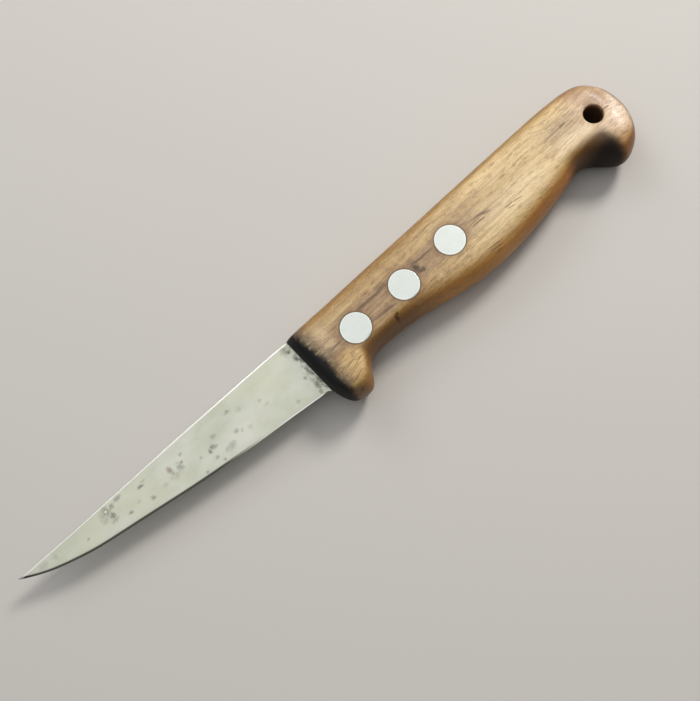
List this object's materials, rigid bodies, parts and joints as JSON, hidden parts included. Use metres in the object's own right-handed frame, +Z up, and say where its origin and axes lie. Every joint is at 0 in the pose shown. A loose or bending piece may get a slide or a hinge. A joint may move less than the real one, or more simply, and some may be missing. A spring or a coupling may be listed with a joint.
{
  "type": "boning knife",
  "caption": "Straight narrow boning knife with a half tang in a one-piece hooked wooden handle, held by flush cutler's rivets, with a lanyard hole.",
  "frame": {"origin": "centre of the footprint, on the surface that the knife lies on", "axes": "+X from the point towards the butt, +Y from the cutting edge towards the spine, +Z up through the flat of the blade"},
  "size_m": [0.245, 0.0356, 0.0175],
  "materials": {
    "steel": "satin ground carbon steel with small dark pits",
    "wood": "worn oiled hardwood",
    "rivet_metal": "flush, fine matt"
  },
  "bodies": {
    "root": {"blade": "steel", "handle": "wood", "rivet_front_hollow_half": "rivet_metal", "rivet_front_solid_half": "rivet_metal", "rivet_middle_hollow_half": "rivet_metal", "rivet_middle_solid_half": "rivet_metal", "rivet_rear_hollow_half": "rivet_metal", "rivet_rear_solid_half": "rivet_metal"}
  },
  "joints": []
}
